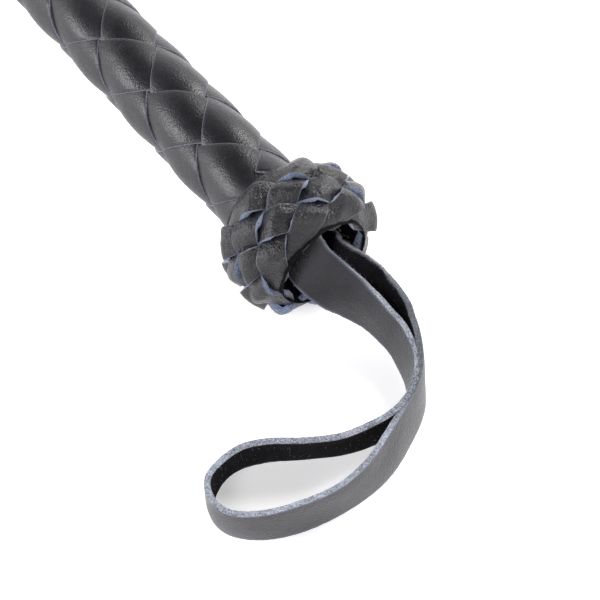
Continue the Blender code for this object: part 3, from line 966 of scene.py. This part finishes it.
@dataclass
class Whipping:
    """Waxed thread wound round the crop in touching turns."""

    axis: ShaftAxis
    node: str
    name: str
    inner: float
    start: float
    stop: float
    thread: float = 0.72 * MM

    def build(self) -> bpy.types.Object:
        """Wind the turns in place of the plain ring."""
        turns = max(3, round((self.stop - self.start) / self.thread))
        pitch = (self.stop - self.start) / turns
        steps = 6
        outline = [(self.stop, self.inner), (self.start, self.inner)]
        for turn in range(turns):
            for step in range(steps):
                share = (step + 0.5) / steps
                swell = math.sin(math.pi * share) ** 0.6
                radius = self.inner + self.thread * (0.45 + 0.5 * swell)
                outline.append((self.start + pitch * (turn + share), radius))
        piece = lathe(self.name, outline, self.axis, 64)
        piece.data.materials.append(WAXED_THREAD.make())
        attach(piece, "crop")
        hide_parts(self.node)
        return piece


@dataclass
class BraidedSleeve:
    """The braided cover of the slim part of the shaft."""

    axis: ShaftAxis
    start: float = -238.3 * MM
    stop: float = -598.0 * MM
    start_radius: float = 4.6 * MM
    stop_radius: float = 3.0 * MM
    bore: float = 2.0 * MM
    yarns: int = 16

    def build(self) -> bpy.types.Object:
        """Turn the sleeve and map its braid evenly round it."""
        stations = 60
        outline = []
        for step in range(stations + 1):
            share = step / stations
            outline.append((self.start + (self.stop - self.start) * share,
                            self.start_radius + (self.stop_radius - self.start_radius) * share))
        outline += [(self.stop, self.bore), (self.start, self.start_radius - 1.0 * MM)]
        piece = lathe("braided_sleeve", outline, self.axis, 40)
        finish = BraidedYarn("sleeve_yarn")
        reach = finish.pitch * self.yarns / 2 / math.pi
        layer = piece.data.uv_layers["strip"]
        for corner in layer.data:
            corner.uv = (corner.uv[0], corner.uv[1] * reach)
        piece.data.materials.append(finish.make())
        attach(piece, "crop")
        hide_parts("shaft_sleeve")
        return piece


@dataclass
class Keeper:
    """Two leaves of leather, wrapped round the tip at one end and stitched flat together at the other."""

    axis: ShaftAxis
    neck_start: float = -570.0 * MM
    flex: float = -599.4 * MM
    length: float = 50 * MM
    width: float = 26 * MM
    wrap_radius: float = 4.75 * MM
    thickness: float = 1.5 * MM
    inset: float = 2.6 * MM
    stitch: float = 2.7 * MM
    wrap_share: float = 0.97
    flat_from: float = -1.0 * MM
    flat_reach: float = 14 * MM
    meeting_height: float = 2.05 * MM
    meeting_gap: float = 0.12 * MM
    # Shares of the leaf's length, and half its width there in mm.
    shoulder: Sequence[tuple[float, float]] = (
        (0.0, 5.5), (0.16, 6.1), (0.34, 10.9), (0.5, 12.7), (0.87, 13.0))

    def half_width(self, run: float) -> float:
        """Half of the flat leaf's width at a distance past the flex line."""
        share = min(max(run / self.length, 0.0), 1.0)
        corner = self.width / 4
        if self.length - run < corner:
            left = max(self.length - run, 0.0)
            return self.width / 2 - corner + math.sqrt(max(corner ** 2 - (corner - left) ** 2, 0.0))
        for (low, first), (high, second) in zip(self.shoulder, self.shoulder[1:]):
            if share <= high:
                part = (share - low) / (high - low)
                part = part * part * (3 - 2 * part)
                return (first + (second - first) * part) * MM
        return self.width / 2

    def surface(self, side: float, run: float, across: float, lift: float = 0.0) -> Vector:
        """A point of one leaf's grain side.

        Args:
            side: 1 for the upper leaf and -1 for the lower one.
            run: distance past the flex line, toward the end of the keeper.
            across: -1 to 1 over the width.
            lift: height above the grain side.

        Returns:
            The place.
        """
        station = self.flex - run
        flat = min(max((run - self.flat_from) / self.flat_reach, 0.0), 1.0)
        flat = flat * flat * (3 - 2 * flat)
        turn = across * math.pi / 2 * self.wrap_share
        radius = self.wrap_radius + lift
        centre = self.axis.origin + self.axis.toward * station
        round_y, round_z = radius * math.sin(turn), side * radius * math.cos(turn)
        share = max(run, 0.0) / self.length
        level = self.meeting_height + side * (self.thickness + self.meeting_gap + lift)
        flat_y = across * self.half_width(max(run, 0.0))
        flat_z = level - centre.z + self.meeting_gap * math.sin(share * 5.0)
        return Vector((centre.x, centre.y + round_y + (flat_y - round_y) * flat,
                       centre.z + round_z + (flat_z - round_z) * flat))

    def build(self) -> None:
        """Make both leaves and their stitching."""
        reach = self.flex - self.neck_start
        for side, word in ((1.0, "upper"), (-1.0, "lower")):
            def place(along: float, across: float, side: float = side) -> Vector:
                """Place of one point of this leaf, with its rounded end drawn more finely."""
                share = 1 - (1 - along) ** 1.15
                return self.surface(side, reach + (self.length - reach) * share, across)
            piece = strip("keeper_%s" % word, 110, 20, self.length - reach, self.width, place)
            if side > 0:
                piece.data.flip_normals()
            thicken(piece, self.thickness, 0.25 * MM)
            KEEPER_LEATHER.dress(piece)
            nodes = ("keeper_leaf_upper", "keeper_neck") if side > 0 else ("keeper_leaf_lower",)
            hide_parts(*nodes)
            self.finish(piece, "keeper_leather")
        self.finish(self.stitches(), "waxed_thread")

    def finish(self, piece: bpy.types.Object, slot: str) -> None:
        """Bake a piece's placement into its mesh."""
        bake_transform(piece)

    def stitches(self) -> bpy.types.Object:
        """A row of saddle stitches inside the edge of both leaves."""
        line: list[tuple[float, float]] = []
        for step in range(200):
            run = 8 * MM + (self.length - self.inset - 8 * MM) * step / 199
            line.append((run, self.half_width(run) - self.inset * 0.85))
        end_run, end_wide = line[-1]
        line += [(end_run, end_wide * (1 - step / 40)) for step in range(1, 41)]
        body = bmesh.new()
        for side in (1.0, -1.0):
            path = [self.surface(side, run, wide / self.half_width(run), 0.05 * MM) for run, wide in line]
            path += [self.surface(side, run, -wide / self.half_width(run), 0.05 * MM)
                     for run, wide in reversed(line)]
            since = self.stitch
            for here, there in zip(path, path[1:]):
                since += (there - here).length
                if since < self.stitch:
                    continue
                since = 0.0
                heading = (there - here).normalized().to_track_quat("X", "Z").to_matrix().to_4x4()
                shape = Matrix.Diagonal((self.stitch * 0.42, 0.33 * MM, 0.26 * MM, 1.0))
                bmesh.ops.create_uvsphere(body, u_segments=8, v_segments=6, radius=1.0,
                                          matrix=Matrix.Translation(here) @ heading @ shape)
        piece = mesh_of("keeper_stitching", body)
        piece.data.materials.append(TwistedThread("stitch_thread", dark=(0.03, 0.03, 0.036),
                                                  light=(0.10, 0.10, 0.115)).make())
        return piece


@dataclass
class MouthThreads:
    """Loose ends of the binding thread inside the knot's mouth."""

    axis: ShaftAxis
    count: int = 16
    radius: float = 0.16 * MM

    def build(self) -> bpy.types.Object:
        """Draw each end as a thin bent tube."""
        chance = random.Random(11)
        body = bmesh.new()
        for _ in range(self.count):
            angle = chance.uniform(-math.pi, math.pi)
            reach, station = chance.uniform(5.5, 8.6) * MM, chance.uniform(4.6, 6.5) * MM
            swing = chance.uniform(-0.5, 0.5)
            spots = [self.axis.place(angle + swing * step / 7, reach + chance.uniform(-0.4, 0.5) * MM,
                                     station + 0.62 * MM * step) for step in range(8)]
            for here, there in zip(spots, spots[1:]):
                heading = (there - here).to_track_quat("Z", "Y").to_matrix().to_4x4()
                spot = Matrix.Translation((here + there) / 2) @ heading
                bmesh.ops.create_cone(body, cap_ends=True, segments=6, radius1=self.radius,
                                      radius2=self.radius, depth=(there - here).length * 1.1, matrix=spot)
        piece = mesh_of("mouth_threads", body)
        piece.data.materials.append(WAXED_THREAD.make())
        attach(piece, "crop")
        return piece


# ---------------------------------------------------------------- studio


@dataclass
class Studio:
    """Plain pale floor, soft lights and the camera."""

    axis: ShaftAxis
    turn: float = math.radians(37.32)
    tilt: float = math.radians(55.0)
    distance: float = 0.540
    lens: float = 141.9

    def light(self, name: str, place: Point, target: Vector, size: float, power: float, tint: Point) -> None:
        """A soft square light aimed at the crop."""
        data = bpy.data.lights.new(name, "AREA")
        data.size = size
        data.energy = power
        data.color = tint
        lamp = bpy.data.objects.new(name, data)
        bpy.context.scene.collection.objects.link(lamp)
        lamp.location = target + Vector(place)
        lamp.rotation_euler = (target - lamp.location).to_track_quat("-Z", "Y").to_euler()

    def build(self) -> None:
        """Set the stage."""
        knot = Vector((self.axis.origin.x, self.axis.origin.y, 0.0))
        target = knot + Vector((5.55 * MM, -2.41 * MM, 0.0))
        level = math.cos(self.tilt)
        forward = Vector((-math.cos(self.turn) * level, math.sin(self.turn) * level, -math.sin(self.tilt)))
        data = bpy.data.cameras.new("camera")
        data.lens = self.lens
        data.sensor_width = 36.0
        data.clip_start = 0.01
        camera = bpy.data.objects.new("camera", data)
        bpy.context.scene.collection.objects.link(camera)
        camera.location = target - forward * self.distance
        camera.rotation_euler = forward.to_track_quat("-Z", "Y").to_euler()
        bpy.context.scene.camera = camera
        self.floor()
        self.light("key_light", (-0.10, 0.85, 0.80), knot, 0.42, 13.5, (1.0, 0.99, 0.97))
        self.light("side_light", (-0.55, -0.95, 0.45), knot, 0.40, 7.0, (0.97, 0.97, 1.0))
        self.light("front_light", (0.20, -0.50, 0.68), knot, 0.28, 1.8, (1.0, 0.98, 1.0))
        self.world()

    def floor(self) -> None:
        """A pale floor under everything."""
        body = bmesh.new()
        bmesh.ops.create_grid(body, x_segments=4, y_segments=4, size=6.0)
        plane = mesh_of("floor", body)
        shader = Shader("floor_paper")
        tone = shader.cloud(shader.object_place(), 30.0, 2.0)
        plane.data.materials.append(shader.finish(
            Base_Color=shader.colour(tone, (0.93, 0.93, 0.94), (0.95, 0.95, 0.96)), Roughness=0.9,
            Specular_IOR_Level=0.1, Emission_Color=(1.0, 1.0, 1.0), Emission_Strength=0.42))

    def world(self) -> None:
        """Even white surroundings."""
        world = bpy.data.worlds.new("studio_air")
        bpy.context.scene.world = world
        world.use_nodes = True
        tree = world.node_tree
        air = tree.nodes["Background"]
        air.inputs["Color"].default_value = (0.965, 0.955, 1.0, 1.0)
        height = tree.nodes.new("ShaderNodeSeparateXYZ")
        tree.links.new(tree.nodes.new("ShaderNodeTexCoord").outputs["Generated"], height.inputs[0])
        strength = Wire(tree, height.outputs["Z"]).ramp(0.35, 0.80, 1.45, 0.08)
        tree.links.new(strength.socket, air.inputs["Strength"])
        bpy.context.scene.view_settings.view_transform = "Standard"


def dress_node(node: str, material: bpy.types.Material) -> None:
    """Give a carried-over CAD node its finish."""
    piece = bpy.data.objects[node]
    piece.data.materials.clear()
    piece.data.materials.append(material)


def main() -> None:
    """Build every assembly in order."""
    logging.basicConfig(level=logging.INFO, format="%(name)s: %(message)s")
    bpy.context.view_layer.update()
    axis = ShaftAxis()
    Studio(axis).build()
    HandlePlait(axis).build()
    knot = TurksHead(axis, "pommel_knot", "turks_head", 18.2 * MM,
                     ((-12.0, 6.6), (-8.4, 2.8), (-4.0, 0.8), (0.4, 0.1), (4.7, 0.2), (8.9, 1.5), (12.4, 5.2),
                      (12.9, 10.6)), 5, 8, 1.5 * MM)
    knot.build(KNOT_LEATHER, 6.8 * MM)
    dress_node("knot_foundation", FleshSide("knot_core").make())
    collar = TurksHead(axis, "collar_knot", "collar_turks_head", 13.4 * MM,
                       ((-9.5, 5.6), (-5.8, 2.0), (-1.9, 0.2), (1.9, 0.0), (5.6, 1.1), (9.5, 3.0)), 3, 7,
                       1.2 * MM, middle=-239.0 * MM, fill=0.50, rise=0.5 * MM, tightness=1.3)
    collar.build(PLAIT_LEATHER, 6.0 * MM)
    dress_node("collar_foundation", FleshSide("collar_core").make())
    dress_node("core_rod", RawStock("glass_fibre", (0.42, 0.40, 0.32), (0.66, 0.64, 0.55), 0.35, 30.0).make())
    dress_node("handle_filler", RawStock("turned_beech", (0.36, 0.22, 0.12), (0.56, 0.38, 0.22)).make())
    for node, name, inner, start, stop in (
            ("strap_binding", "strap_whipping", 7.85 * MM, 1.8 * MM, 4.8 * MM),
            ("butt_binding", "butt_whipping", 11.15 * MM, -9.6 * MM, -7.2 * MM),
            ("collar_binding", "collar_whipping", 8.6 * MM, -237.6 * MM, -234.5 * MM),
            ("keeper_whipping", "tip_whipping", 5.1 * MM, -592.9 * MM, -577.9 * MM)):
        Whipping(axis, node, name, inner, start, stop).build()
    BraidedSleeve(axis).build()
    Keeper(axis).build()
    MouthThreads(axis).build()
    strap = WristStrap(axis)
    strap.build()
    strap.fuzz()


if __name__ == "__main__":
    main()
